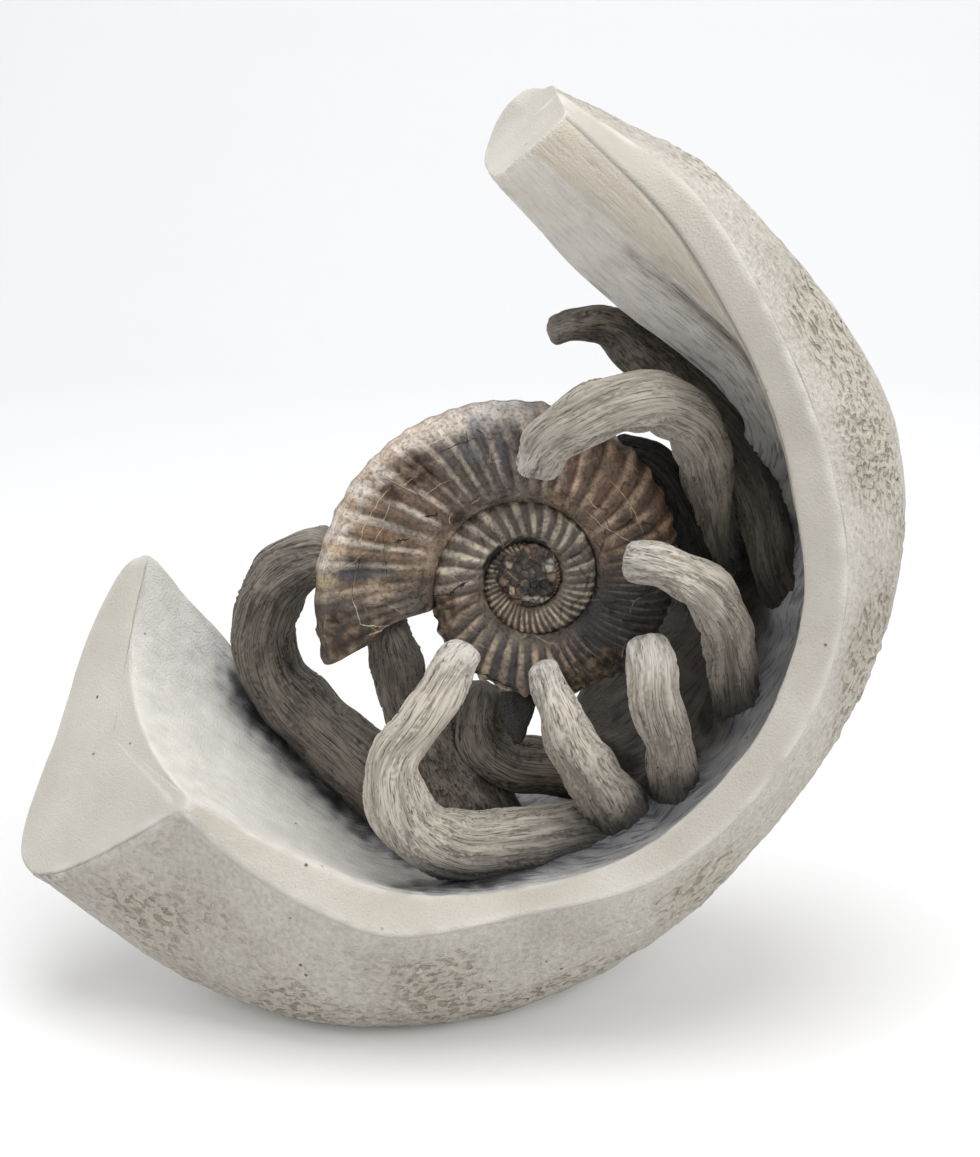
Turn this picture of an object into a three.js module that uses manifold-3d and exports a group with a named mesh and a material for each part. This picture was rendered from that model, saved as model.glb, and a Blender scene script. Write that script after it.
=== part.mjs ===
// An ammonite held free by stone arms that rise out of a hollowed stone crescent.
// Millimetres, +Z up, front towards -Y. The solids are drawn around the centre of the
// ammonite's spiral, and the group lifts them so that the crescent stands on z = 0.
import * as THREE from 'three';
import { mergeVertices } from 'three/addons/utils/BufferGeometryUtils.js';
import Module from 'manifold-3d';

const wasm = await Module();
wasm.setup();

// ---------- driving dimensions, mm and degrees ----------

// Where the group is lifted to: middle of the footprint box, base on z = 0.
const STAND = new THREE.Vector3(20.15, -0.1, 119.4);
const BASE_Z = -119.4;
const GAP = 0.3;

// Shell: radius where the spiral crosses +X, growth in one turn, and where the last whorl ends.
const SHELL_RADIUS = 39.2;
const SHELL_GROWTH = 2.13;
const SHELL_LEAN = 10;
const APERTURE_ANGLE = 197;
const WHORL_SPAN = 345;
const WHORL_STEP = 338;
const RIB_HEIGHT = 0.022;
const RIB_SWEEP = 5;
// The share of a rib's height that shows at the seam, and how fast it rises from there.
const RIB_ROOT = 0.3;
const RIB_RISE = 2;
// How much wider and further round the spiral is that cuts the arms clear of the shell.
const CLEARANCE_SWELL = 0.032;
const CLEARANCE_TURN = 1;

// Cross-section of a whorl, as shares of its outer radius: distance from the centre, half width.
const WHORL_SECTION = [[0.45, 0.12], [0.55, 0.195], [0.74, 0.21], [0.91, 0.15]];
const WHORL_RIBS = [52, 34, 0];
const PLAIN_STATIONS = 20;
const HEART_FLATNESS = 0.35;
const BALL_SIDES = 10;
const BALL_RINGS = 6;
// A lump of the rock left under the shell, behind its lower edge: middle and half sizes.
const LUMP = { middle: [-3, -36, -4], half: [4.6, 10, 5] };

// The crescent runs from its left horn, over its base, to its upper horn.
// Each line below is one of its long edges, given at eleven stations.
const LIP = [
  [-87, -36, -47], [-63, -40, -59], [-34, -42, -70], [-3, -42, -69], [29, -41, -57], [57, -37, -27],
  [67, -33, 6], [63, -30, 33], [57, -26, 55], [34, -20, 96], [8, -16, 123],
];
const RIM = [
  [-89, -38, -49], [-69, -45, -64], [-37, -50, -78], [-3, -49, -73], [35, -47, -62], [67, -42, -27],
  [77, -38, 8], [74, -34, 34], [68, -30, 53], [41, -18, 102], [6, 4, 126],
];
const KEEL = [
  [-137, -14, -78], [-89, -18, -112], [-51, -30, -117.5], [1, -21, -116], [44, -12, -92.5], [85, -6, -36],
  [96, -6, 5], [95, -4, 34], [84, 0, 62], [46.5, 10, 103.5], [3, 20, 125],
];
const HEEL = [
  [-131, 12, -50], [-84, 24, -99], [-50, 26, -118], [12, 28, -118], [46, 30, -90], [76, 30, -32],
  [86, 30, 2], [87, 29, 30], [74, 28, 54], [34, 28, 98], [-5, 22, 122],
];
const TAIL = [
  [-112, 36, -7], [-92, 46, -38], [-57, 50, -78], [-2, 50, -82], [36, 48, -44], [56, 46, -17],
  [63, 44, 3], [72, 38, 25], [62, 28, 42], [18, 26, 80], [-12, 18, 109],
];
const CREST = [
  [-106, 36, -5], [-86, 38, -32], [-56, 42, -69], [-3, 42, -75], [20, 40, -40], [42, 39, -13],
  [51, 37, 4], [60, 22, 26], [50, 6, 48], [14, -6, 80], [-10, -14, 107],
];
const FLOOR = [
  [-107, 2, -33], [-77, 0, -56], [-38, -2, -79], [-2, 0, -80], [33, 0, -67], [62, 4, -36],
  [74, 6, -3], [72, 0, 30], [52, -12, 66], [26, -16, 91], [-1, -17, 115],
];
const CRESCENT_STEPS = 46;
const HULL_BULGE = 0.09;
const FLANK_SHARES = [0.33, 0.67];
// The channel is a round trough at the base and a sharper valley along the upper horn.
const HOLLOW_SHARES = [0.17, 0.33, 0.5, 0.67, 0.83];
const TROUGH_SHARPNESS = 1;
const VALLEY_SHARPNESS = 3.5;
const VALLEY_FROM = 0.6;
const VALLEY_TO = 0.8;
// The corners of a cross-section whose middle is also the middle of an end face.
const END_CORNERS = [0, 4, 6, 8];
const UNDER_BLOCK = [400, 200, 40];

// Arms from tip to root: points on the middle of the arm, then its radius at each of them.
const ARMS = {
  arm_front_middle: {
    path: [[3, -20, -15], [6, -22, -25], [11, -19, -39], [17, -13, -51], [22, -5, -63], [26, 5, -75]],
    radii: [3.8, 5, 6.4, 7.4, 8.4, 10],
  },
  arm_front_left: {
    path: [[-15.5, -19, -11], [-21, -23, -18], [-28, -29, -28], [-35, -32, -37], [-35, -33, -47],
      [-31, -31, -57], [-21, -26, -65], [-8, -19, -68], [4, -11, -70], [14, -4, -72],
      [23, 2, -77]],
    radii: [4.2, 5.8, 6, 6.4, 7.2, 8.4, 8.8, 8, 7, 6.6, 8],
  },
  arm_front_right: {
    path: [[30, -17, -9], [31, -20, -14], [32, -19, -25], [36.5, -13, -40], [39, -5, -54], [42, 6, -68]],
    radii: [4.4, 6.2, 6.4, 6, 6.2, 8.5],
  },
  arm_side: {
    path: [[23.5, -19, 12], [31.5, -22, 12], [41, -20, 7], [49, -13, -4], [53, -4, -18], [56, 5, -32],
      [60, 14, -44]],
    radii: [3.8, 5, 6.2, 6.6, 6.6, 6.8, 9],
  },
  arm_over: {
    path: [[0, -17, 35], [4, -22, 44], [12, -23, 50], [22, -19, 53], [31, -11, 51], [40.5, -2, 44],
      [45.5, 7, 32], [48.5, 15, 20], [51, 23, 8], [56, 32, -4], [64, 38, -14]],
    radii: [4.6, 6.2, 7, 7.2, 7.2, 7.2, 7, 6.2, 6, 7.4, 9],
  },
  arm_back_left: {
    path: [[-52, 12, 4], [-62, 17, -1], [-70, 22, -11], [-74, 25, -25], [-71, 25, -39], [-61, 22, -50],
      [-49, 16, -59], [-37, 10, -68], [-26, 5, -80]],
    radii: [7, 7.8, 8.4, 8.8, 9, 9.6, 10.4, 11, 13],
  },
  arm_back_aperture: {
    path: [[-38, 1, -13], [-36, 5, -24], [-34, 8, -35], [-30, 10, -47], [-24, 12, -59], [-18, 13, -71],
      [-14, 13, -84]],
    radii: [6, 6.8, 7.4, 8.4, 11, 14, 16],
  },
  arm_back_low: {
    path: [[-13, 10, -34], [-14, 10, -44], [-12, 8, -52], [-5, 8, -57], [5, 9, -59], [15, 14, -62],
      [24, 20, -68], [33, 24, -76]],
    radii: [6.4, 7, 7.6, 7.8, 7.6, 7.8, 8.6, 10],
  },
  arm_back_right: {
    path: [[22, 11, 32], [31, 14, 29], [38, 18, 19], [43, 25, 4], [49, 33, -12], [56, 38, -24]],
    radii: [4, 5, 5.6, 6.4, 7.6, 9],
  },
  arm_back_top: {
    path: [[4, 8, 65], [11, 10, 66], [19, 13, 65], [28, 17, 58], [37, 21, 48], [48, 22, 38], [57, 20, 27],
      [62.5, 16, 15], [65, 14, 3], [69, 14, -8], [76, 15, -15]],
    radii: [2.8, 4, 4.8, 6.4, 7.8, 8, 7.6, 6.6, 5.8, 5.6, 6],
  },
};
const ARM_SIDES = 8;
const ARM_STEPS = 12;
const TIP_SHARE = 0.62;

const WELD_DISTANCE = 0.001;

// ---------- shapes ----------

// A closed bar of the given sides and steps, its points placed by place(side, step, onAxis).
function bar(sides, steps, place) {
  const shape = welded(new THREE.CylinderGeometry(1, 1, 1, sides, steps));
  const at = shape.attributes.position;
  for (let i = 0; i < at.count; i += 1) {
    const onAxis = Math.hypot(at.getX(i), at.getZ(i)) < 0.5;
    const turn = Math.atan2(at.getX(i), at.getZ(i)) / (2 * Math.PI);
    const side = onAxis ? 0 : Math.round((turn + 1) * sides) % sides;
    const step = Math.round((at.getY(i) + 0.5) * steps);
    const point = place(side, step, onAxis);
    at.setXYZ(i, point.x, point.y, point.z);
  }
  return solid(shape);
}

function welded(geometry) {
  geometry.deleteAttribute('normal');
  geometry.deleteAttribute('uv');
  return mergeVertices(geometry, WELD_DISTANCE);
}

function solid(geometry) {
  const vertProperties = new Float32Array(geometry.attributes.position.array);
  const triVerts = new Uint32Array(geometry.index.array);
  return new wasm.Manifold(new wasm.Mesh({ numProp: 3, vertProperties, triVerts }));
}

function middle(points) {
  const sum = points.reduce((total, point) => total.add(point), new THREE.Vector3());
  return sum.divideScalar(points.length);
}

function curveOf(points) {
  return new THREE.CatmullRomCurve3(points.map((point) => new THREE.Vector3(...point)));
}

// Cuts a solid back from its neighbours and keeps the largest piece that is left.
function trim(body, neighbours) {
  const cut = neighbours.reduce((rest, neighbour) => rest.subtract(neighbour), body);
  const pieces = cut.decompose();
  return pieces.sort((a, b) => b.volume() - a.volume())[0];
}

// ---------- ammonite ----------

// One whorl that ends at the given angle; its ribs swell the flanks and the outer edge.
function whorl(endAngle, ribs, swell) {
  const back = WHORL_SECTION.map(([reach, half]) => [reach, -half]).reverse();
  const section = [...WHORL_SECTION, [1, 0], ...back];
  const stations = ribs > 0 ? ribs * 2 : PLAIN_STATIONS;
  const ringAt = (step) => section.map(([reach, half]) => {
    const across = (reach - WHORL_SECTION[0][0]) / (1 - WHORL_SECTION[0][0]);
    const crest = ribs > 0 && step % 2 === 0 ? RIB_HEIGHT : 0;
    const degrees = endAngle - WHORL_SPAN * (1 - step / stations) + RIB_SWEEP * across ** 2;
    const angle = THREE.MathUtils.degToRad(degrees);
    const outer = SHELL_RADIUS * SHELL_GROWTH ** (degrees / 360);
    const radius = outer * (reach + (crest + swell) * across);
    const raised = crest * Math.min(1, RIB_ROOT + RIB_RISE * across) + swell;
    const width = outer * (half + Math.sign(half) * raised);
    return new THREE.Vector3(radius * Math.cos(angle), radius * Math.sin(angle), width);
  });
  return bar(section.length, stations, (side, step, onAxis) => {
    const ring = ringAt(step);
    return onAxis ? middle(ring) : ring[side];
  });
}

function shell() {
  const whorls = WHORL_RIBS.map((ribs, turn) => whorl(APERTURE_ANGLE - turn * WHORL_STEP, ribs, 0));
  const heartAngle = APERTURE_ANGLE - WHORL_RIBS.length * WHORL_STEP;
  const heartRadius = SHELL_RADIUS * SHELL_GROWTH ** (heartAngle / 360);
  const heart = new THREE.SphereGeometry(heartRadius, BALL_SIDES, BALL_RINGS);
  heart.scale(1, 1, HEART_FLATNESS);
  return [...whorls, lump(0)].reduce((joined, part) => joined.add(part), solid(welded(heart)));
}

function lump(swell) {
  const shape = new THREE.SphereGeometry(1, BALL_SIDES, BALL_RINGS);
  shape.scale(...LUMP.half.map((half) => half + swell));
  shape.translate(...LUMP.middle);
  return solid(welded(shape));
}

// A plain spiral a little larger than the shell, for cutting the arms clear of it.
function shellClearance() {
  const end = APERTURE_ANGLE + CLEARANCE_TURN;
  const whorls = [0, 1].map((turn) => whorl(end - turn * WHORL_STEP, 0, CLEARANCE_SWELL));
  return whorls[0].add(whorls[1]).add(lump(GAP));
}

// Turns a solid drawn flat, front towards +Z, into the ammonite's leaning place.
function lean(body) {
  return body.rotate([90 - SHELL_LEAN, 0, 0]);
}

// ---------- crescent ----------

function crescent() {
  const rails = [LIP, RIM, KEEL, HEEL, TAIL, CREST, FLOOR].map(curveOf);
  // A point of a rounded stretch between two edges, halfway unless told, pushed away from the floor.
  const bulge = (from, to, away, share = 0.5) => {
    const point = from.clone().lerp(to, share);
    const out = point.clone().sub(away).normalize();
    return point.addScaledVector(out, from.distanceTo(to) * HULL_BULGE * 4 * share * (1 - share));
  };
  // A point of the arc from one edge down through the low point to the other edge.
  const hollow = (from, low, to, share, sharpness) => {
    const sides = from.clone().lerp(to, 0.5);
    const control = low.clone().multiplyScalar(1 + sharpness).sub(sides).divideScalar(sharpness);
    const weights = [(1 - share) ** 2, 2 * sharpness * share * (1 - share), share ** 2];
    const point = from.clone().multiplyScalar(weights[0]);
    point.addScaledVector(control, weights[1]);
    point.addScaledVector(to, weights[2]);
    return point.divideScalar(weights[0] + weights[1] + weights[2]);
  };
  const ringAt = (along) => {
    const [lip, rim, keel, heel, tail, crest, floor] = rails.map((rail) => rail.getPoint(along));
    const inValley = THREE.MathUtils.smoothstep(along, VALLEY_FROM, VALLEY_TO);
    const sharpness = THREE.MathUtils.lerp(TROUGH_SHARPNESS, VALLEY_SHARPNESS, inValley);
    return [
      lip, rim, ...FLANK_SHARES.map((share) => bulge(rim, keel, floor, share)), keel,
      bulge(keel, heel, floor), heel, bulge(heel, tail, floor), tail, crest,
      ...HOLLOW_SHARES.map((share) => hollow(crest, floor, lip, share, sharpness)),
    ];
  };
  const sides = ringAt(0).length;
  const body = bar(sides, CRESCENT_STEPS, (side, step, onAxis) => {
    const ring = ringAt(step / CRESCENT_STEPS);
    return onAxis ? middle(END_CORNERS.map((corner) => ring[corner])) : ring[side];
  });
  const under = new THREE.BoxGeometry(...UNDER_BLOCK);
  under.translate(0, 0, BASE_Z - UNDER_BLOCK[2] / 2);
  return body.subtract(solid(welded(under)));
}

// ---------- arms ----------

function arm({ path, radii }, extra) {
  const curve = curveOf(path);
  const frames = curve.computeFrenetFrames(ARM_STEPS, false);
  const radiusAt = (share) => {
    const place = share * (radii.length - 1);
    const before = Math.min(Math.floor(place), radii.length - 2);
    return THREE.MathUtils.lerp(radii[before], radii[before + 1], place - before) + extra;
  };
  return bar(ARM_SIDES, ARM_STEPS, (side, step, onAxis) => {
    const share = step / ARM_STEPS;
    const centre = curve.getPointAt(share);
    if (onAxis) {
      return centre;
    }
    const turn = (side / ARM_SIDES) * 2 * Math.PI;
    const round = step === 0 ? TIP_SHARE : 1;
    centre.addScaledVector(frames.normals[step], Math.cos(turn) * radiusAt(share) * round);
    return centre.addScaledVector(frames.binormals[step], Math.sin(turn) * radiusAt(share) * round);
  });
}

// ---------- assembly ----------

const calcite = new THREE.MeshStandardMaterial({ color: 0x7d6a58, roughness: 0.45, metalness: 0 });
const paleStone = new THREE.MeshStandardMaterial({ color: 0xcfc8bb, roughness: 0.9, metalness: 0 });
const greyStone = new THREE.MeshStandardMaterial({ color: 0x96928a, roughness: 0.8, metalness: 0 });
const darkStone = new THREE.MeshStandardMaterial({ color: 0x5f574f, roughness: 0.8, metalness: 0 });

const group = new THREE.Group();
group.position.copy(STAND);

function addNode(name, body, material) {
  const { vertProperties, triVerts } = body.getMesh();
  const geometry = new THREE.BufferGeometry();
  geometry.setAttribute('position', new THREE.BufferAttribute(vertProperties, 3));
  geometry.setIndex(new THREE.BufferAttribute(triVerts, 1));
  const mesh = new THREE.Mesh(geometry, material);
  mesh.name = name;
  group.add(mesh);
}

const stone = crescent();
addNode('ammonite', lean(shell()), calcite);
addNode('stone_crescent', stone, paleStone);

const taken = [lean(shellClearance()), stone, stone.translate([-GAP, -GAP, GAP])];
Object.entries(ARMS).forEach(([name, shape]) => {
  addNode(name, trim(arm(shape, 0), taken), name.includes('back') ? darkStone : greyStone);
  taken.push(arm(shape, GAP));
});

export default group;
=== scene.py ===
# An ammonite held free by stone arms that rise out of a hollowed limestone crescent.
# Metres, +Z up, the ammonite's shown side towards -Y.
from math import copysign, cos, exp, hypot, pi, radians, sin
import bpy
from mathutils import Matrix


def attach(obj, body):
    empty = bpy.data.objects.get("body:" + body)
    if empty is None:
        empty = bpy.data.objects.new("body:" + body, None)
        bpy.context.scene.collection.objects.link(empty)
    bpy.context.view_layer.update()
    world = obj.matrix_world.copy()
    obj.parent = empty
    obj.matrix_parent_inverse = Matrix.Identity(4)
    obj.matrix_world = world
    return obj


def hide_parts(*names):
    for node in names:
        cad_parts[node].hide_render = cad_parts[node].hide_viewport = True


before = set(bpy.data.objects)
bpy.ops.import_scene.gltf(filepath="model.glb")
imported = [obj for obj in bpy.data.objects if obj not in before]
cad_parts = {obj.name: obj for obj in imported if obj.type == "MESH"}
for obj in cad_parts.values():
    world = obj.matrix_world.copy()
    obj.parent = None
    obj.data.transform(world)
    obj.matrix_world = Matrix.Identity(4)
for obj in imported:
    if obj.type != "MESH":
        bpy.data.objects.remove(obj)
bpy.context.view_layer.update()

from types import SimpleNamespace

import bmesh
import bpy
from mathutils import Matrix, Vector
from mathutils.bvhtree import BVHTree
from mathutils.kdtree import KDTree
from mathutils.noise import cell, fractal, noise, voronoi


# ---------- camera ----------
# A short portrait lens a little over half a metre away, looking down at the piece.

MM = 0.001
# The middle of the shell when the piece stands on its flat spot.
STAND = Vector((20.15, -0.1, 119.4)) * MM
CAMERA_AIM = STAND + Vector((-10.5, 0, 0)) * MM
CAMERA_DISTANCE = 560 * MM
CAMERA_ELEVATION = radians(20)
# In mm.
LENS = 66
SENSOR_WIDTH = 36

camera_data = bpy.data.cameras.new("camera")
camera_data.lens = LENS
camera_data.sensor_width = SENSOR_WIDTH
camera = bpy.data.objects.new("camera", camera_data)
back_off = Vector((0, -cos(CAMERA_ELEVATION), sin(CAMERA_ELEVATION)))
camera.location = CAMERA_AIM + back_off * CAMERA_DISTANCE
camera.rotation_euler = (pi / 2 - CAMERA_ELEVATION, 0, 0)
bpy.context.collection.objects.link(camera)
bpy.context.scene.camera = camera


# ---------- light ----------
# A white tent: dim walls all round, and four large soft lamps, the strongest straight above.
# Powers are in watts and places in metres.

def linear(hex_colour):
    """A colour written as sRGB hex, as an opaque colour in linear light."""
    channels = [int(hex_colour[i:i + 2], 16) / 255 for i in (0, 2, 4)]
    curved = [c / 12.92 if c <= 0.04045 else ((c + 0.055) / 1.055) ** 2.4 for c in channels]
    return (*curved, 1)


def set_inputs(node, values):
    """Give inputs of the node a socket to link to, a hex colour or a plain value."""
    for name, value in values.items():
        if isinstance(value, bpy.types.NodeSocket):
            node.id_data.links.new(value, node.inputs[name])
        else:
            node.inputs[name].default_value = linear(value) if isinstance(value, str) else value


def add_node(tree, kind, inputs=None, out=0, stops=(), **settings):
    """One output of a new node with those settings, inputs and, on a ramp, (place, colour) stops."""
    made = tree.nodes.new("ShaderNode" + kind)
    for name, value in settings.items():
        setattr(made, name, value)
    for number, (place, colour) in enumerate(stops):
        elements = made.color_ramp.elements
        element = elements[number] if number < len(elements) else elements.new(place)
        element.position = place
        element.color = linear(colour)
    set_inputs(made, inputs or {})
    return made.outputs[out]


def add_lamp(name, size, power, place, colour):
    """A round soft lamp that points at the middle of the piece."""
    lamp_data = bpy.data.lights.new(name, "AREA")
    lamp_data.shape = "DISK"
    lamp_data.size = size
    lamp_data.energy = power
    lamp_data.color = linear(colour)[:3]
    lamp = bpy.data.objects.new(name, lamp_data)
    lamp.location = place
    lamp.rotation_euler = (Vector(place) - STAND).to_track_quat("Z", "Y").to_euler()
    bpy.context.collection.objects.link(lamp)


world = bpy.data.worlds.new("studio")
world.use_nodes = True
tent = world.node_tree.nodes["Background"]
set_inputs(tent, {"Color": "F5F7FB", "Strength": 0.34})
bpy.context.scene.world = world
bpy.context.scene.view_settings.view_transform = "Standard"

add_lamp("top lamp", 0.8, 7.9, (0, -0.05, 1.1), "FFFFFF")
add_lamp("left lamp", 0.6, 3.6, (-0.9, -0.35, 0.6), "FFFDFA")
add_lamp("right lamp", 0.6, 4.3, (0.9, -0.3, 0.6), "FFFDFA")
add_lamp("front lamp", 0.7, 2.8, (0.5, -0.8, 0.8), "FFFEFC")


# ---------- backdrop ----------
# A seamless sheet of white acrylic, matt and with a faint painted glow that lifts the shadows on
# it: flat under the piece, then curved up behind it into a wall, where it is a little greyer.

def new_material(name):
    """A material, its node tree and its shader."""
    made = bpy.data.materials.new(name)
    made.use_nodes = True
    return made, made.node_tree, made.node_tree.nodes["Principled BSDF"]


def new_object(name, shape, material):
    mesh = bpy.data.meshes.new(name)
    shape.to_mesh(mesh)
    shape.free()
    mesh.materials.append(material)
    mesh.shade_smooth()
    made = bpy.data.objects.new(name, mesh)
    bpy.context.collection.objects.link(made)
    return made


# Sizes of the sheet in metres, and the rows of its mesh.
SHEET_HALF_WIDTH = 2.0
SHEET_FRONT = -1.6
SHEET_BEND_START = 0.3
SHEET_BEND_RADIUS = 0.35
SHEET_TOP = 1.6
SHEET_STEPS = 60

acrylic, tree, sheet_shader = new_material("matt white acrylic")
where = add_node(tree, "TexCoord", out="Object")
height = add_node(tree, "SeparateXYZ", {"Vector": where}, "Z")
sheet_tint = add_node(tree, "ValToRGB", {"Fac": height}, stops=[(0, "E0E0E0"), (0.05, "D5D6D8")])
# The emission is a painted glow that lifts the shadows on the sheet.
set_inputs(sheet_shader, {
    "Base Color": sheet_tint, "Roughness": 0.9, "Specular IOR Level": 0.2, "Emission Color": "FFFFFF",
    "Emission Strength": 0.08,
})
sheet_shape = bmesh.new()
bmesh.ops.create_grid(sheet_shape, x_segments=2, y_segments=SHEET_STEPS, size=0.5)
bend_length = SHEET_BEND_RADIUS * pi / 2
sheet_length = SHEET_BEND_START - SHEET_FRONT + bend_length + SHEET_TOP
for vert in sheet_shape.verts:
    run = (vert.co.y + 0.5) * sheet_length + SHEET_FRONT - SHEET_BEND_START
    bend = min(max(run / bend_length, 0), 1) * pi / 2
    vert.co.x *= 2 * SHEET_HALF_WIDTH
    vert.co.y = SHEET_BEND_START + min(run, 0) + SHEET_BEND_RADIUS * sin(bend)
    vert.co.z = SHEET_BEND_RADIUS * (1 - cos(bend)) + max(run - bend_length, 0)
backdrop = new_object("backdrop", sheet_shape, acrylic)


# ---------- run of the arms ----------
# Ten curled arms were ground out of the rock with a burr. Each is given from its tip to its root:
# points on its middle and its radius there, in mm from the middle of the shell.

ARMS = {
    "arm_front_middle": (
        [(3, -20, -15), (6, -22, -25), (11, -19, -39), (17, -13, -51), (22, -5, -63), (26, 5, -75)],
        [3.8, 5, 6.4, 7.4, 8.4, 10],
    ),
    "arm_front_left": (
        [(-15.5, -19, -11), (-21, -23, -18), (-28, -29, -28), (-35, -32, -37), (-35, -33, -47),
         (-31, -31, -57), (-21, -26, -65), (-8, -19, -68), (4, -11, -70), (14, -4, -72), (23, 2, -77)],
        [4.2, 5.8, 6, 6.4, 7.2, 8.4, 9.1, 8.8, 8.4, 8.2, 8.2],
    ),
    "arm_front_right": (
        [(30, -17, -9), (31, -20, -14), (32, -19, -25), (36.5, -13, -40), (39, -5, -54), (42, 6, -68)],
        [4.4, 6.2, 6.4, 6, 6.2, 8.5],
    ),
    "arm_side": (
        [(23.5, -19, 12), (31.5, -22, 12), (41, -20, 7), (49, -13, -4), (53, -4, -18), (56, 5, -32),
         (60, 14, -44)],
        [3.8, 5, 6.2, 6.6, 6.6, 6.8, 9],
    ),
    "arm_over": (
        [(0, -17, 35), (4, -22, 44), (12, -23, 50), (22, -19, 53), (31, -11, 51), (40.5, -2, 44),
         (45.5, 7, 32), (48.5, 15, 20), (51, 23, 8), (56, 32, -4), (64, 33, -14)],
        [4.6, 6.2, 7, 7.2, 7.2, 7.2, 7, 6.2, 6, 7.2, 7.4],
    ),
    "arm_back_left": (
        [(-52, 12, 4), (-62, 17, -1), (-70, 22, -11), (-74, 25, -25), (-71, 25, -39), (-61, 22, -50),
         (-49, 16, -59), (-37, 10, -68), (-26, 5, -80)],
        [7, 7.8, 8.4, 8.8, 9, 9.6, 10.4, 11, 13],
    ),
    "arm_back_aperture": (
        [(-38, 1, -13), (-36, 5, -24), (-34, 8, -35), (-30, 10, -47), (-24, 12, -59), (-18, 13, -71),
         (-14, 13, -84)],
        [6, 6.8, 7.4, 8.4, 11, 14, 16],
    ),
    "arm_back_low": (
        [(-13, 10, -34), (-14, 10, -44), (-12, 8, -52), (-5, 8, -57), (5, 9, -59), (15, 14, -62),
         (24, 20, -68), (33, 24, -76)],
        [6.4, 7, 7.6, 7.8, 7.6, 7.8, 8.6, 10],
    ),
    "arm_back_right": (
        [(22, 11, 32), (31, 14, 29), (38, 18, 19), (43, 25, 4), (49, 32, -12), (58, 32, -24)],
        [4, 5, 5.6, 6.4, 7.2, 7.2],
    ),
    "arm_back_top": (
        [(4, 8, 65), (11, 10, 66), (19, 13, 65), (28, 17, 58), (37, 21, 48), (48, 22, 38), (57, 20, 27),
         (62.5, 16, 15), (65, 14, 3), (69, 14, -8), (76, 15, -15)],
        [2.8, 4, 4.8, 6.4, 7.8, 8, 7.6, 6.6, 5.8, 5.6, 6],
    ),
}
ROUTE_SAMPLES = 400
# Length in mm of one row of an arm's mesh.
ARM_ROW_LENGTH = 0.66
# How many points of the arms are weighed to find the nearest surface.
NEAREST_COUNT = 6


def spline(points, share):
    """A point on the smooth curve through the points, share running 0 to 1 evenly by point."""
    place = min(max(share, 0), 1) * (len(points) - 1)
    before = min(int(place), len(points) - 2)
    t = place - before
    p1, p2 = points[before], points[before + 1]
    p0 = points[before - 1] if before > 0 else p1 * 2 - p2
    p3 = points[before + 2] if before + 2 < len(points) else p2 * 2 - p1
    d0, d1, d2 = ((b - a).length ** 0.5 for a, b in ((p0, p1), (p1, p2), (p2, p3)))
    t1 = ((p1 - p0) / d0 - (p2 - p0) / (d0 + d1) + (p2 - p1) / d1) * d1
    t2 = ((p2 - p1) / d1 - (p3 - p1) / (d1 + d2) + (p3 - p2) / d2) * d1
    return p1 + t1 * t + (-3 * p1 + 3 * p2 - 2 * t1 - t2) * t ** 2 + (2 * p1 - 2 * p2 + t1 + t2) * t ** 3


def ease(low, high, value):
    """A smooth rise from 0 at low to 1 at high, or a fall where low is the larger."""
    t = min(max((value - low) / (high - low), 0), 1)
    return t * t * (3 - 2 * t)


def arm_route(path, radii):
    """Evenly spaced (point, direction, side, radius, run) along an arm, in mm."""
    points = [Vector(p) for p in path]
    samples = [spline(points, i / ROUTE_SAMPLES) for i in range(ROUTE_SAMPLES + 1)]
    run = [0]
    for a, b in zip(samples, samples[1:]):
        run.append(run[-1] + (b - a).length)
    count = int(run[-1] / ARM_ROW_LENGTH)
    route = []
    at = 0
    side = Vector((0, -1, 0))
    for i in range(count + 1):
        target = run[-1] * i / count
        while at < ROUTE_SAMPLES - 1 and run[at + 1] < target:
            at += 1
        t = (target - run[at]) / (run[at + 1] - run[at])
        ahead = (samples[at + 1] - samples[at]).normalized()
        side = (side - ahead * side.dot(ahead)).normalized()
        place = (at + t) / ROUTE_SAMPLES * (len(radii) - 1)
        low = min(int(place), len(radii) - 2)
        radius = radii[low] + (radii[low + 1] - radii[low]) * (place - low)
        route.append((samples[at].lerp(samples[at + 1], t), ahead, side, radius, target))
    return route


def nearest_points(points):
    """A tree that finds which of the points are nearest to a place."""
    made = KDTree(len(points))
    for index, point in enumerate(points):
        made.insert(point, index)
    made.balance()
    return made


routes = {name: arm_route(path, radii) for name, (path, radii) in ARMS.items()}
arm_points = [(place, radius) for route in routes.values() for place, _, _, radius, _ in route]
arm_tree = nearest_points([place for place, _ in arm_points])


def from_arms(place):
    """Distance in mm from the nearest arm's surface, less than 0 inside it."""
    near = arm_tree.find_n(place, NEAREST_COUNT)
    return min(distance - arm_points[index][1] for _, index, distance in near)
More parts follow.
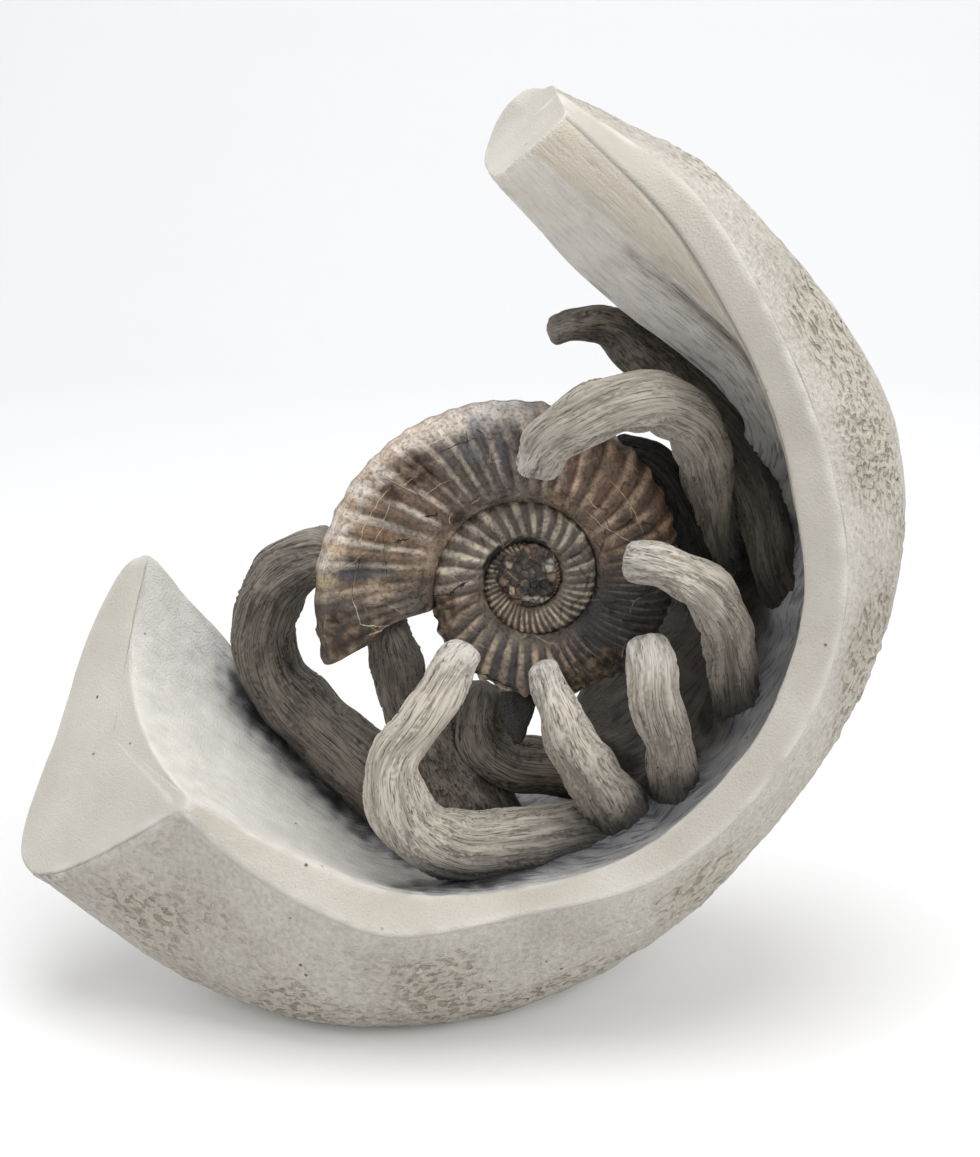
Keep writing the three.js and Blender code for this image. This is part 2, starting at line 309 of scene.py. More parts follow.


# ---------- crescent ----------
# The body of a limestone nodule, sawn and ground to a hollow crescent that stands on its own
# underside. Its front lip is rubbed smooth, its outside keeps the pitted skin of the nodule, and its
# inside is a channel scraped with a burr, stained grey and painted with shade around the arms.

# Long edges from the left horn, over the base, to the upper horn, in mm from the shell's middle.
LIP = [
    (-87, -36, -47), (-63, -40, -59), (-34, -42, -70), (-3, -42, -69), (29, -41, -57), (57, -37, -27),
    (67, -33, 6), (63, -30, 33), (57, -26, 55), (34, -20, 96), (8, -16, 123),
]
RIM = [
    (-89, -38, -49), (-69, -45, -64), (-37, -50, -78), (-3, -49, -73), (35, -47, -62), (67, -42, -27),
    (77, -38, 8), (74, -34, 34), (68, -30, 53), (41, -18, 102), (6, 4, 126),
]
KEEL = [
    (-137, -14, -78), (-89, -18, -112), (-51, -30, -117.5), (1, -21, -116), (44, -12, -92.5), (85, -6, -36),
    (96, -6, 5), (95, -4, 34), (84, 0, 62), (46.5, 10, 103.5), (3, 20, 125),
]
HEEL = [
    (-131, 12, -50), (-84, 24, -99), (-50, 26, -118), (12, 28, -118), (46, 30, -90), (76, 30, -32),
    (86, 30, 2), (87, 29, 30), (74, 28, 54), (34, 28, 98), (-5, 22, 122),
]
TAIL = [
    (-112, 36, -7), (-92, 46, -38), (-57, 50, -78), (-2, 50, -82), (36, 48, -44), (56, 46, -17),
    (63, 44, 3), (72, 38, 25), (62, 28, 42), (18, 26, 80), (-12, 18, 109),
]
CREST = [
    (-106, 36, -5), (-86, 38, -32), (-56, 42, -69), (-3, 42, -75), (20, 40, -40), (42, 39, -13),
    (51, 37, 4), (60, 22, 26), (50, 6, 48), (14, -6, 80), (-10, -14, 107),
]
CHANNEL = [
    (-107, 2, -33), (-77, 0, -56), (-38, -2, -79), (-2, 0, -80), (33, 0, -67), (62, 4, -36),
    (74, 6, -3), (72, 0, 30), (52, -12, 66), (26, -16, 91), (-1, -17, 115),
]
EDGES = [[Vector(p) for p in edge] for edge in (LIP, RIM, KEEL, HEEL, TAIL, CREST, CHANNEL)]
# How far the hull swells between its long edges, in mm.
HULL_BULGE = 2
# The channel is a round trough at the base and a sharper valley along the upper horn.
TROUGH_SHARPNESS = 1
VALLEY_SHARPNESS = 3.5
VALLEY_FROM = 0.6
VALLEY_TO = 0.8
# Mesh rows along the crescent and over each end face; columns over the band, hull and channel.
CRESCENT_STEPS = 430
CAP_STEPS = 22
BAND_COLUMNS = 12
HULL_SPANS = [52, 24, 24, 10]
HULL_COLUMNS = sum(HULL_SPANS)
CHANNEL_COLUMNS = 74
RING_COLUMNS = BAND_COLUMNS + HULL_COLUMNS + CHANNEL_COLUMNS
CRESCENT_ROWS = CRESCENT_STEPS + 2 * CAP_STEPS
# How far the stone is drawn up around the foot of an arm, and how far the stain and painted shade spread,
# in mm.
FILLET = 6
STAIN_REACH_LEFT = 5
STAIN_REACH_RIGHT = 15
# Width, length and share of the depth of the scrapes in the channel.
SCRAPES = [(2.2, 16, 0.6), (1.3, 9, 0.4)]
# Between these shares of the crescent's length a groove at the lip and a tan strip inside it begin;
# both run on to the upper end.
STRIP_RUN = (0.62, 0.7)
# Lengths in mm from row to row, from column to column in the channel, and once over the hull.
CRESCENT_ROW_LENGTH = 1.0
CHANNEL_COLUMN_WIDTH = 0.9
HULL_GIRTH = 200
# Parts the pattern of the hull from that of the channel, in mm.
HULL_GRAIN_SHIFT = 7
# Spacing in mm of the large and small pits of the skin, their radius as a share of that, how deep
# they are in mm, and how far the small ones are shifted from the large.
PIT_SPACING = 4.2
SMALL_PIT_SPACING = 2.6
PIT_SHARE = 0.7
PIT_DEPTH = 1.5
PIT_SHIFT = Vector((9, 0, 0))
SCRAPE_DEPTH = 0.6
GROOVE_DEPTH = 0.7
# Vertices closer than this, in mm, are joined.
WELD_GAP = 0.02
# How many times the whole body is smoothed, and then its edges where they are worn more than this.
BODY_ROUNDING = 3
EDGE_ROUNDING = 8
WORN_ENOUGH = 0.2


hull_shares = [
    (span + step / count) / len(HULL_SPANS)
    for span, count in enumerate(HULL_SPANS) for step in range(count)
]


def crescent_ring(along):
    """The points of one cross-section, in mm: band, then hull, then channel."""
    lip, rim, keel, heel, tail, crest, channel = (spline(edge, along) for edge in EDGES)
    ring = [lip.lerp(rim, i / BAND_COLUMNS) for i in range(BAND_COLUMNS)]
    hull = [rim, keel, heel, tail, crest]
    for share in hull_shares:
        point = spline(hull, share)
        swell = HULL_BULGE * sin(pi * (share * 4 % 1)) if share < 0.75 else 0
        ring.append(point + (point - channel).normalized() * swell)
    in_valley = ease(VALLEY_FROM, VALLEY_TO, along)
    sharpness = TROUGH_SHARPNESS + (VALLEY_SHARPNESS - TROUGH_SHARPNESS) * in_valley
    low = (channel * (1 + sharpness) - crest.lerp(lip, 0.5)) / sharpness
    for i in range(CHANNEL_COLUMNS):
        t = i / CHANNEL_COLUMNS
        shares = ((1 - t) ** 2, 2 * sharpness * t * (1 - t), t ** 2)
        ring.append((crest * shares[0] + low * shares[1] + lip * shares[2]) / sum(shares))
    return ring


def end_plane(ring, inside):
    """The middle of an end face and the way it faces."""
    corners = [ring[0], ring[BAND_COLUMNS + HULL_SPANS[0]], ring[BAND_COLUMNS + sum(HULL_SPANS[:3])]]
    out = (corners[1] - corners[0]).cross(corners[2] - corners[0]).normalized()
    if out.dot(inside - corners[0]) > 0:
        out = -out
    return (corners[0] + corners[1] + corners[2]) / 3, out


def end_face(ring, inside):
    """Rings that close an end with a nearly flat face, from its edge to its middle."""
    middle, out = end_plane(ring, inside)
    rings = []
    for step in range(1, CAP_STEPS + 1):
        left = 1 - (step / CAP_STEPS) ** 1.4
        heights = [(point - middle).dot(out) for point in ring]
        flat = [point - out * height for point, height in zip(ring, heights)]
        rings.append([
            middle.lerp(point, left) + out * height * left ** 3 for point, height in zip(flat, heights)
        ])
    return rings


def drawn_noise(point, across, along):
    """Noise drawn out along the third axis, about -1 to 1."""
    return noise(Vector((point[0] / across, point[1] / across, point[2] / along)))


def pits(place, size, share):
    """Small round hollows, 0 to 1, whose radius is that share of their spacing."""
    return max(0, 1 - voronoi(place / size)[0][0] / share)


def grid_shape(columns, rows, *shares, colours=()):
    """A grid, its vertex layers by name, and (vertex, column, row) for all its vertices.

    One layer is the grain, a place in mm that textures follow. The others hold shares from 0 to 1
    or colours.
    """
    shape = bmesh.new()
    bmesh.ops.create_grid(shape, x_segments=columns, y_segments=rows, size=0.5)
    kinds = {"grain": "float_vector"}
    kinds.update({name: "float" for name in shares})
    kinds.update({name: "float_color" for name in colours})
    for name, kind in kinds.items():
        getattr(shape.verts.layers, kind).new(name)
    layer = SimpleNamespace(
        **{name: getattr(shape.verts.layers, kind)[name] for name, kind in kinds.items()}
    )
    cells = [
        (vert, round((vert.co.x + 0.5) * columns) % columns, round((vert.co.y + 0.5) * rows))
        for vert in shape.verts
    ]
    return shape, layer, cells


def weld(shape, gap):
    """Join vertices closer than that gap, then turn all faces outward."""
    bmesh.ops.remove_doubles(shape, verts=shape.verts, dist=gap)
    bmesh.ops.recalc_face_normals(shape, faces=shape.faces)


body_rings = [crescent_ring(step / CRESCENT_STEPS) for step in range(CRESCENT_STEPS + 1)]
left_rings = end_face(body_rings[0], body_rings[4][0])
upper_rings = end_face(body_rings[-1], body_rings[-5][0])
all_rings = left_rings[::-1] + body_rings + upper_rings

# Layers of the mesh that say how far each vertex belongs to a part or state of the surface, or how much
# painted shade it gets.
CRESCENT_LAYERS = [
    "hull", "channel", "facet", "rough", "worn", "stain", "wall", "valley", "strip", "groove", "contact",
]
crescent_shape, layer, cells = grid_shape(RING_COLUMNS, CRESCENT_ROWS, *CRESCENT_LAYERS)
for vert, column, row in cells:
    along = (row - CAP_STEPS) / CRESCENT_STEPS
    hull_column = column - BAND_COLUMNS
    across = (hull_column - HULL_COLUMNS) / CHANNEL_COLUMNS
    on_face = row <= CAP_STEPS - 1 or row >= CRESCENT_ROWS - CAP_STEPS + 1
    from_lip = min(column, RING_COLUMNS - column)
    from_face = min(abs(row - CAP_STEPS), abs(row - CRESCENT_ROWS + CAP_STEPS))
    along_horn = row * CRESCENT_ROW_LENGTH
    vert[layer.facet] = float(on_face)
    vert[layer.channel] = float(not on_face and across >= 0)
    # Edges are worn and painted paler, partly as a painted highlight along them; along the lip only over
    # the first half of the crescent.
    vert[layer.worn] = max(
        exp(-(hull_column / 1.8) ** 2), exp(-(from_face / 3) ** 2),
        exp(-(from_lip / 1.5) ** 2) * ease(0.6, 0.4, along),
    )
    vert[layer.grain] = (column * CHANNEL_COLUMN_WIDTH, 0, along_horn)
    if not on_face and 2 <= hull_column <= HULL_COLUMNS - 5:
        share = hull_shares[hull_column]
        vert[layer.hull] = 1
        vert[layer.grain] = (share * HULL_GIRTH, HULL_GRAIN_SHIFT, along_horn)
        vert[layer.rough] = ease(0.02, 0.09, share) * (1 - 0.75 * ease(0.19, 0.25, share))
    if vert[layer.channel]:
        # The back wall of the channel is painted dark: its own stain and painted shade.
        wall_edge = 0.6 - 0.16 * ease(0.46, 0.56, along)
        vert[layer.wall] = ease(wall_edge, wall_edge - 0.16, across)
        vert[layer.wall] *= ease(0.26, 0.38, along) * ease(0.74, 0.62, along)
        # The dark valley along the upper horn is painted shade.
        in_valley = ease(0.62, 0.7, along) * ease(0.94, 0.82, along)
        vert[layer.valley] = in_valley * exp(-((across - 0.3) / 0.1) ** 2)
    if across > 0:
        on_slope = max(ease(44, 34, from_lip), 0.35)
        vert[layer.strip] = on_slope * ease(*STRIP_RUN, along) * (not on_face)
    vert[layer.groove] = (from_lip == 0) * ease(*STRIP_RUN, along) * (not on_face)
    vert.co = all_rings[row][column]
weld(crescent_shape, WELD_GAP)
at_edges = [vert for vert in crescent_shape.verts if vert[layer.worn] > WORN_ENOUGH]
for smoothed in [crescent_shape.verts] * BODY_ROUNDING + [at_edges] * EDGE_ROUNDING:
    bmesh.ops.smooth_vert(
        crescent_shape, verts=smoothed, factor=0.5, use_axis_x=True, use_axis_y=True, use_axis_z=True
    )
crescent_shape.normal_update()
for vert in crescent_shape.verts:
    place = vert.co.copy()
    grain = vert[layer.grain]
    lumps = fractal(place / 18, 1, 2, 3)
    vert[layer.worn] *= min(max(0.6 + 0.9 * noise(place / 5), 0), 1)
    if vert[layer.hull]:
        patchy = noise(place / 26 + Vector((3, 1, 7)))
        vert[layer.rough] *= 0.3 + 0.7 * ease(-0.25, 0.2, patchy)
        drawn = Vector((grain.x, grain.y, grain.z / 1.8))
        hollow = pits(drawn, PIT_SPACING, PIT_SHARE)
        hollow = max(hollow, 0.7 * pits(drawn + PIT_SHIFT, SMALL_PIT_SPACING, PIT_SHARE))
        gritty = (0.1 + 0.6 * vert[layer.rough]) * fractal(drawn / 1.7, 0.8, 2.1, 3)
        depth = 0.6 * lumps + gritty - PIT_DEPTH * hollow * vert[layer.rough] - 0.3
    elif vert[layer.channel]:
        near = from_arms(place)
        fillet = 0.5 * FILLET * max(0, 1 - max(near, 0) / FILLET) ** 2
        # A grey stain spreads from the arms, with painted shade in it where they meet the channel.
        reach = STAIN_REACH_LEFT + (STAIN_REACH_RIGHT - STAIN_REACH_LEFT) * ease(-45, 5, place.x)
        stain = 1.12 * exp(-max(near, 0) / reach) * (1 + 0.45 * noise(place / 7))
        stain = max(stain, 0.9 * vert[layer.wall])
        vert[layer.stain] = min(max(stain, 0), 1) * ease(0.72, 0.5, vert[layer.valley] + 0.3)
        # Painted shadow at the feet of the arms, on the left side of the crescent.
        at_foot = ease(8.5, 0.5, near + 4 * noise(place / 4))
        vert[layer.contact] = at_foot * ease(25, -15, place.x)
        scraped = 0
        for width, length, share in SCRAPES:
            scraped += share * ease(0.08, 0.4, drawn_noise(grain, width, length))
        streaky = min(0.3 + vert[layer.stain] + vert[layer.valley], 1)
        depth = 0.4 * lumps + fillet - SCRAPE_DEPTH * scraped * streaky - 0.7 * pits(place, 6, 0.16)
    else:
        depth = 0.3 * lumps - 0.3 * pits(place, 9, 0.1)
    vert.co = place + vert.normal * (depth - GROOVE_DEPTH * vert[layer.groove])
for vert in crescent_shape.verts:
    vert.co = vert.co * MM + STAND
    vert.co.z = max(vert.co.z, 0)


# Numbers of the sockets that a Mix node uses for colours.
MIX_AMOUNT = 0
MIX_FIRST = 6
MIX_SECOND = 7
MIX_RESULT = 2


def coated(tree, colour, *coats):
    """The colour under coats of others; each is (share that it covers, strength, its colour)."""
    for share, strength, tint in coats:
        covered = add_node(tree, "Math", {0: share, 1: strength}, operation="MULTIPLY")
        inputs = {MIX_AMOUNT: covered, MIX_FIRST: colour, MIX_SECOND: tint}
        colour = add_node(tree, "Mix", inputs, MIX_RESULT, data_type="RGBA")
    return colour


def piled(tree, height, *others):
    """The height with others added to it; each is (height, how many times it counts)."""
    for other, share in others:
        counted = add_node(tree, "Math", {0: other, 1: share}, operation="MULTIPLY")
        height = add_node(tree, "Math", {0: height, 1: counted}, operation="ADD")
    return height


# Ground limestone: fine, pale and matt, cream where rubbed and brown in the pits of its skin.
limestone, tree, shader = new_material("ground limestone")
where = add_node(tree, "TexCoord", out="Object")
grain = add_node(tree, "Attribute", out="Vector", attribute_name="grain")
part = SimpleNamespace(**{
    name: add_node(tree, "Attribute", out="Fac", attribute_name=name) for name in CRESCENT_LAYERS
})
# Lumps of four sizes, and dots; sizes and the distance between dots are in mm.
clouds, mottle, grit, fine_grit = [
    add_node(tree, "TexNoise", {"Vector": where, "Scale": 1 / (size * MM), "Detail": detail})
    for size, detail in [(26, 4), (5, 4), (1.5, 6), (0.6, 4)]
]
dots = add_node(tree, "TexVoronoi", {"Vector": where, "Scale": 1 / (7 * MM)}, "Distance")
# Pits and scratches, drawn out along the grain: their size across it and along it, in mm.
pit_noise, streaks = [
    add_node(tree, "TexNoise", {
        "Vector": add_node(tree, "Mapping", {"Vector": grain, "Scale": (1 / across, 1, 1 / along)}),
        "Scale": 1.0, "Detail": detail,
    })
    for across, along, detail in [(1.5, 3, 3), (0.9, 9, 4)]
]
# Colours that vary with those, and how strongly pits, streaks, flecks and dots show.
tint = SimpleNamespace(**{
    name: add_node(tree, "ValToRGB", {"Fac": value}, stops=stops)
    for name, value, *stops in [
        ("rubbed", clouds, (0.3, "B4AFA4"), (0.55, "C0BBB1"), (0.75, "C8C4BB")),
        ("sawn", clouds, (0.3, "B7B2A8"), (0.55, "C1BDB4"), (0.75, "C7C4BC")),
        ("fine_skin", grit, (0.32, "A39E95"), (0.5, "BDB8AF"), (0.68, "D0CCC4")),
        ("broad_skin", clouds, (0.35, "B2ADA3"), (0.65, "CCC8BF")),
        ("dust", mottle, (0.3, "CDCAC3"), (0.7, "DCD9D2")),
        ("grey_stain", mottle, (0.3, "A2A3A9"), (0.7, "C0C1C5")),
        ("wall_stain", mottle, (0.3, "37342F"), (0.7, "58534C")),
        ("pits", pit_noise, (0.36, "FFFFFF"), (0.47, "000000")),
        ("streaks", streaks, (0.38, "B0B0B0"), (0.48, "000000")),
        ("flecks", grit, (0.58, "000000"), (0.64, "C0C0C0")),
        ("dots", dots, (0.04, "FFFFFF"), (0.09, "000000")),
        ("dotted", clouds, (0.5, "000000"), (0.58, "FFFFFF")),
    ]
})
pitted = add_node(tree, "Math", {0: tint.pits, 1: part.rough}, operation="MULTIPLY")
deeply_pitted = add_node(tree, "Math", {0: pitted, 1: part.rough}, operation="MULTIPLY")
scratch = piled(tree, part.valley, (part.stain, 1), (0.12, 1))
for share in (tint.streaks, part.channel):
    scratch = add_node(tree, "Math", {0: scratch, 1: share}, operation="MULTIPLY")
skin = coated(
    tree, tint.fine_skin,
    (0.5, 1, tint.broad_skin),
    (deeply_pitted, 0.55, "968772"),
    (part.rough, 0.22, "A6987F"),
)
# Grey stain and painted shade, darker still at the back wall.
stained_and_shaded = coated(tree, tint.grey_stain, (part.wall, 1, tint.wall_stain))
colour = coated(
    tree, tint.rubbed,
    (part.hull, 1, skin),
    (part.channel, 1, tint.dust),
    (part.facet, 1, tint.sawn),
    # Paler worn edges, partly a painted highlight.
    (part.worn, 0.6, "DEDBD4"),
    (part.stain, 1, stained_and_shaded),
    # Painted shade down the valley.
    (part.valley, 0.92, "4B4A46"),
    (part.strip, 0.8, "C2B9A9"),
    # Painted shadow at the arms' feet, flecked.
    (part.contact, 0.88, "2E2D2C"),
    (tint.flecks, part.contact, "2E2C2A"),
    (scratch, 1, "3C3B3B"),
    # The groove is painted darker, as painted shade in its crease.
    (part.groove, 0.6, "6E6A62"),
    (tint.dots, tint.dotted, "5F5244"),
)
hull_grit = add_node(tree, "Math", {0: part.hull, 1: 1.6}, operation="MULTIPLY")
height = add_node(tree, "Math", {0: grit, 1: hull_grit}, operation="MULTIPLY")
height = piled(tree, height, (fine_grit, 0.6), (pitted, -1.8), (scratch, -1))
relief = add_node(tree, "Bump", {"Height": height, "Strength": 0.8, "Distance": 1 * MM})
set_inputs(shader, {
    "Base Color": colour, "Roughness": 0.88, "Specular IOR Level": 0.25, "Normal": relief,
})

channel_tree = nearest_points([vert.co.copy() for vert in crescent_shape.verts if vert[layer.channel]])

crescent = new_object("carved_crescent", crescent_shape, limestone)
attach(crescent, "root")
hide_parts("stone_crescent")


# ---------- arms ----------
# Each arm tapers to a blunt tip against the shell and swells into the channel at its foot. It is
# scored lengthwise by the burr; the front arms are grey rock, the back ones darker and browner.

ARM_COLUMNS = 136
# Where an arm is scored, stained and painted with shade at its foot, close to its tip, and darkened:
# painted shade on its underside, and all over some arms.
ARM_LAYERS = ["score", "foot", "near_tip", "under"]
# Width and length of a score, in mm, and how deep it goes.
SCORES = [(1.7, 26, 0.75), (1.05, 16, 0.45)]
# How much darker each of these arms is made all over, but near its tip; its underside also gets painted
# shade.
ARM_DARKENING = {"arm_over": 0.9, "arm_front_left": 0.45, "arm_back_left": 0.45, "arm_side": 0.15}
# How far from the channel the grey stain and painted shade climb an arm, in mm.
CLIMB = 15
# Width and length of the flats that the burr left, in mm.
FLAT_WIDTH = 5.5
FLAT_LENGTH = 10
# Length of the blunt tip, as a share of the radius there.
TIP_LENGTH = 0.8
# Added to the radius, in mm, to make up for the scores.
SCORE_ALLOWANCE = 0.36


def make_arm(name, route, material, seed):
    """An arm in place of the plain one of that name; the seed gives it scores of its own."""
    tip = route[0][3] * TIP_LENGTH
    rows = len(route) - 1
    shape, layer, cells = grid_shape(ARM_COLUMNS, rows, *ARM_LAYERS)
    for vert, column, row in cells:
        place, ahead, side, radius, run = route[row]
        turn = column / ARM_COLUMNS * 2 * pi
        outward = side * cos(turn) + ahead.cross(side) * sin(turn)
        grain = Vector((cos(turn) * radius, sin(turn) * radius, run + seed * 100))
        planes = drawn_noise(grain, FLAT_WIDTH, FLAT_LENGTH)
        wander = grain + Vector((noise(grain / 9), noise(grain / 9 + grain.yzx), 0)) * 1.5
        score = 0
        cut = 0
        for width, length, depth in SCORES:
            groove = ease(0.02, 0.42, drawn_noise(wander, width, length))
            cut += groove * depth
            score = max(score, groove)
        blunt = min(run / tip, 1)
        dome = (1 - (1 - blunt) ** 2.6) ** 0.5
        vert[layer.score] = score
        vert[layer.near_tip] = ease(14, 2, run)
        # Painted shade on the arm's underside.
        under = ease(0.2, -0.8, outward.z + 0.2 * noise(grain / 6))
        vert[layer.under] = max(under, ARM_DARKENING.get(name, 0) * ease(0, 14, run))
        vert[layer.grain] = grain
        planes *= 1.4 + 0.6 * ease(8, 0, run)
        vert.co = (place + outward * (radius + planes - cut + SCORE_ALLOWANCE) * dome) * MM + STAND
        vert[layer.foot] = ease(CLIMB, 0, channel_tree.find(vert.co)[2] / MM)
    bmesh.ops.remove_doubles(shape, verts=shape.verts, dist=WELD_GAP * MM)
    bmesh.ops.holes_fill(shape, edges=shape.edges, sides=0)
    bmesh.ops.recalc_face_normals(shape, faces=shape.faces)
    made = new_object(name + "_scored", shape, material)
    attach(made, "root")
    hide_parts(name)
    return made


def scored_stone(name, light, middle, dark, foot_colour, tip_colour):
    """Limestone scratched along the arm, painted light on its ridges and dark down in its scores, as
    painted highlight and shade.
    """
    material, tree, shader = new_material(name)
    grain = add_node(tree, "Attribute", out="Vector", attribute_name="grain")
    part = SimpleNamespace(**{
        layer: add_node(tree, "Attribute", out="Fac", attribute_name=layer) for layer in ARM_LAYERS
    })
    # Their size across the arm and along it, in mm.
    fibres, scratches, patches, chips = [
        add_node(tree, "TexNoise", {
            "Vector": add_node(
                tree, "Mapping", {"Vector": grain, "Scale": (1 / across, 1 / across, 1 / along)}
            ),
            "Scale": 1.0, "Detail": detail,
        })
        for across, along, detail in [(0.42, 18, 2), (0.4, 10, 2), (6, 10, 4), (1.2, 2, 4)]
    ]
    tint = SimpleNamespace(**{
        name: add_node(tree, "ValToRGB", {"Fac": value}, stops=stops)
        for name, value, *stops in [
            ("fibres", fibres, (0.22, dark), (0.4, middle), (0.52, light)),
            ("patches", patches, (0.42, "000000"), (0.6, "808080")),
            ("chips", chips, (0.6, "000000"), (0.68, "808080")),
            ("scratches", scratches, (0.33, "E0E0E0"), (0.4, "000000")),
            ("scratch_depth", scratches, (0.3, "808080"), (0.37, "000000")),
        ]
    })
    colour = coated(
        tree, tint.fibres,
        (tint.patches, 1, middle),
        (tint.chips, 1, light),
        (part.near_tip, 0.4, tip_colour),
        (part.score, 0.34, dark),
        (tint.scratches, 1, dark),
        # Painted shade on undersides, and some arms darkened all over.
        (part.under, 0.5, dark),
        # Grey stain and painted shade where the arm meets the channel.
        (part.foot, 0.85, foot_colour),
    )
    height = piled(tree, fibres, (chips, 0.3), (tint.scratch_depth, -1))
    relief = add_node(tree, "Bump", {"Height": height, "Strength": 0.7, "Distance": 0.7 * MM})
    set_inputs(shader, {
        "Base Color": colour, "Roughness": 0.75, "Specular IOR Level": 0.3, "Normal": relief,
    })
    return material


# Scored limestone: matt, painted light on the ridges and dark down in the scores as painted highlight and
# shade, over the stone's own grain.
grey_limestone = scored_stone(
    "scored grey limestone", "DAD2C5", "BCB4A6", "504A41", "4A494B", "CBCAC6"
)
# Clayey limestone: darker and browner than the rest of the nodule, scored the same way.
dark_limestone = scored_stone(
    "scored clayey limestone", "918A7F", "6B645B", "332F2A", "3A3937", "9A948A"
)
# Clayey limestone behind the shell, painted nearly black: its own dark stain and painted shadow.
shadow_black_limestone = scored_stone(
    "shadow-black clayey limestone", "4A4845", "333231", "161617", "1F1F21", "4A4845"
)

for seed, (name, route) in enumerate(routes.items()):
    stone = grey_limestone if "back" not in name else dark_limestone
    # The arm behind the shell's right edge is painted nearly black as painted shadow.
    stone = shadow_black_limestone if name == "arm_back_right" else stone
    arm = make_arm(name, route, stone, seed)


# ---------- ammonite ----------
# An evolute shell whose chambers filled with calcite, so that it is hard, brown and honey
# coloured and takes a low polish. Its whorls are ribbed, black mudstone stays in the seams, and
# it was cracked and healed with pale calcite before it was found.

# Radius in mm at angle 0, how many times larger it gets in a turn, and the lean of the shell.
SHELL_RADIUS = 39.2
SHELL_GROWTH = 2.13
SHELL_LEAN = radians(10)
SHELL_TURNS = 3.1
# In degrees: where the spiral ends, how far a rib sweeps back over a whorl, and from row to row.
APERTURE_ANGLE = 197
RIB_SWEEP = 5
ROW_STEP = 0.62
FRONT_COLUMNS = 50
BACK_COLUMNS = 30
SHELL_COLUMNS = FRONT_COLUMNS + BACK_COLUMNS
# Rows that close each end of the tube.
END_ROWS = 10
SHELL_WELD_GAP = 0.01 * MM
# Cross-section of a whorl, as shares of its outer radius: distance from the middle, half width.
INNER_REACH = 0.43
WHORL_SECTION = [
    (INNER_REACH, 0.0), (0.433, 0.05), (0.448, 0.085), (0.5, 0.13), (0.6, 0.178), (0.74, 0.207),
    (0.87, 0.188), (0.955, 0.122), (1.0, 0.0),
]
SECTION_MIDDLE = 0.72
# Degrees from rib to rib at angles round the spiral; 0 is +X, and a turn back is -360.
RIB_SPACING = [
    (197, 8.4), (142, 8.4), (128, 6.8), (100, 6.8), (60, 9.2), (20, 9), (8, 4.4), (-45, 4.4), (-60, 5.5),
    (-80, 11), (-180, 12), (-340, 12), (-380, 8), (-1000, 7),
]
# Height of a rib as a share of the outer radius, and the part of it below the plain whorl.
RIB_HEIGHT = 0.036
RIB_SINK = 0.6
# Colours of the rib tops and of the hollows between them, at the same kind of angles.
TONES = [
    (200, "6B5C50", "40352D"), (188, "766759", "463C34"), (178, "9E8D79", "614F40"),
    (170, "C3B6A1", "725C48"), (160, "D0C6B8", "7E6144"), (147, "D0C5B8", "785D44"),
    (136, "BFAF9E", "6A5544"), (120, "B7AA9B", "5F524A"), (105, "A89D93", "564E48"),
    (92, "998D82", "4E433A"), (72, "B0967E", "5B4434"), (45, "BDA68C", "654C3B"),
    (20, "A28469", "543D30"), (5, "7C685A", "312925"), (-8, "665C54", "1A1A1D"),
    (-42, "665C54", "1B1A1C"), (-62, "8E7763", "30261E"), (-80, "A8937B", "40342A"),
    (-100, "B8A892", "444240"), (-150, "A8957C", "4A3D33"), (-175, "A68F80", "5A4B42"),
    (-190, "D0C5B2", "675B4F"), (-235, "CBBFAB", "63574B"), (-265, "A19484", "4B4138"),
    (-300, "B4A997", "50463B"), (-340, "BBB29F", "5E5449"), (-450, "C8B69E", "58493C"),
    (-540, "B09C82", "3F3328"), (-1000, "85735C", "2B231C"),
]
RIM_TONE = "F2E7DB"
# Places in the plane of the shell, in mm: x, y, radius, then how deep the surface is broken.
BREAKS = [
    (-30, 30, 5.6, 2.0), (-24, 27, 3, 1.0), (-36.5, 24, 2.8, 0.8), (-18.5, 17, 2.4, 0.8),
    (16.5, -25, 6.5, 1.7), (21, -20, 4, 1.1), (-50, -14, 8, 1.2), (-38, -11, 6, 0.4), (-14, -31, 4, 1.2),
    (-5, -35, 3.5, 1.0), (-24, -9.5, 5, 1.2), (-22, -5, 3, 0.9),
]
# Marks of colour there: x, y, half width, half height, colour, strength. Each fades out at this
# many times its half widths.
MARK_REACH = 1.3
MARKS = [
    (-45, 4.3, 6, 3.2, "2C2D31", 1.3), (-38, 4.5, 4, 1.8, "4A4B50", 0.8),
    (-40, -1, 5.4, 3.2, "B39E84", 0.9), (-54, 0.5, 3, 2.6, "C9B590", 0.9),
    (-50, 20, 6, 4, "B38E5E", 0.7), (-53, 10, 5, 3, "B8935F", 0.7), (-44, 30, 4, 4, "B8966A", 0.6),
    (-33, -7, 6, 6, "6B625A", 0.6), (-29, 16, 7, 7, "7A6A5C", 0.5), (-22, 44, 6, 4, "C9B3A4", 0.8),
    (-31, 40, 6, 4, "C6AE99", 0.7), (-38, 35, 5, 4, "C9B08F", 0.7), (-5, 46, 8, 3.5, "B0ADA6", 0.7),
    (-14, 42, 4, 3, "8F9296", 0.6), (-15, 36, 3, 5, "5C5F64", 0.7), (-7, 37, 2.4, 6, "626469", 0.5),
    (-30, 30, 5.8, 4.6, "4A2A19", 1.3), (-36, 24, 3, 2, "5C3A26", 1.1),
    (-18.5, 17, 2.4, 2.2, "4E3A2B", 1.1), (20, 27, 6, 8, "7B5B42", 0.4), (36, 17, 6, 7, "765641", 0.4),
    (31, -9, 8, 8, "171512", 0.45), (18, -15, 6, 6, "26221E", 0.3), (16, -26, 6, 4, "5F462F", 0.7),
    (-49, -12, 9, 5.5, "463A31", 0.9), (-34, -10, 8, 4, "655D55", 0.8), (-20, -8, 6, 3, "5A4330", 0.8),
    (-3, 8.5, 4, 2.2, "1C1715", 0.8), (-8, 4, 2.4, 3, "1F1A17", 0.8),
    (3.5, 8.5, 2.6, 2.2, "6B5240", 0.7),
]
